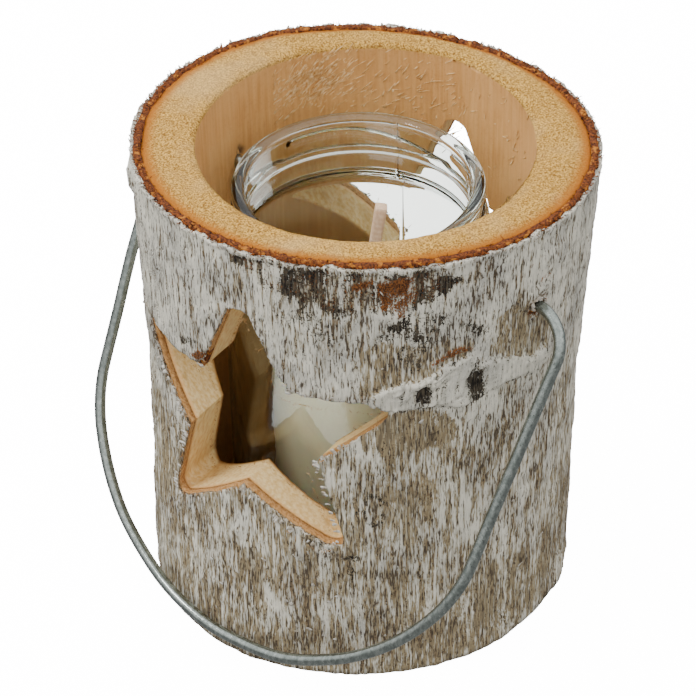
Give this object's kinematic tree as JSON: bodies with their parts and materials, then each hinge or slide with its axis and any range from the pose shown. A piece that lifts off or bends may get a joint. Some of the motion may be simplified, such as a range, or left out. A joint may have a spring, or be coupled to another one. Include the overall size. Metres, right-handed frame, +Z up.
{
  "type": "hanging lantern",
  "caption": "Hollowed birch log lantern with a star cut through front and back, a glass jar with a pillar candle in its bore, and a wire bail to hang or carry it.",
  "frame": {"origin": "centre of the log's sawn base", "axes": "+Z up along the log; the star faces -Y; the bail swings about a line along X"},
  "size_m": [0.1706, 0.1452, 0.17],
  "materials": {
    "birch_wood": "sawn and bored, unfinished",
    "inner_bark": "fibrous",
    "white_bark": "papery, cracked and streaked",
    "jar_glass": "clear, polished",
    "cream_wax": null,
    "waxed_wick": "wax-coated cotton",
    "tinplate": "bright tinplate",
    "galvanised_wire": "galvanised, drawn"
  },
  "bodies": {
    "log": {"log_wood": "birch_wood", "inner_bark": "inner_bark", "outer_bark": "white_bark"},
    "handle": {"wire_handle": "galvanised_wire"},
    "jar": {"glass_jar": "jar_glass"},
    "candle": {"candle_wax": "cream_wax", "wick": "waxed_wick", "wick_sustainer": "tinplate"}
  },
  "joints": [
    {"name": "handle_swing", "type": "hinge", "parent": "log", "child": "handle", "pos_m": [0, 0, 0.1395], "axis": [-1, 0, 0], "range_deg": [0, 301.5]},
    {"name": "jar_lift", "type": "slide", "parent": "log", "child": "jar", "axis": [0, 0, 1], "range_m": [0, 0.165]},
    {"name": "candle_lift", "type": "slide", "parent": "jar", "child": "candle", "axis": [0, 0, 1], "range_m": [0, 0.155]}
  ]
}
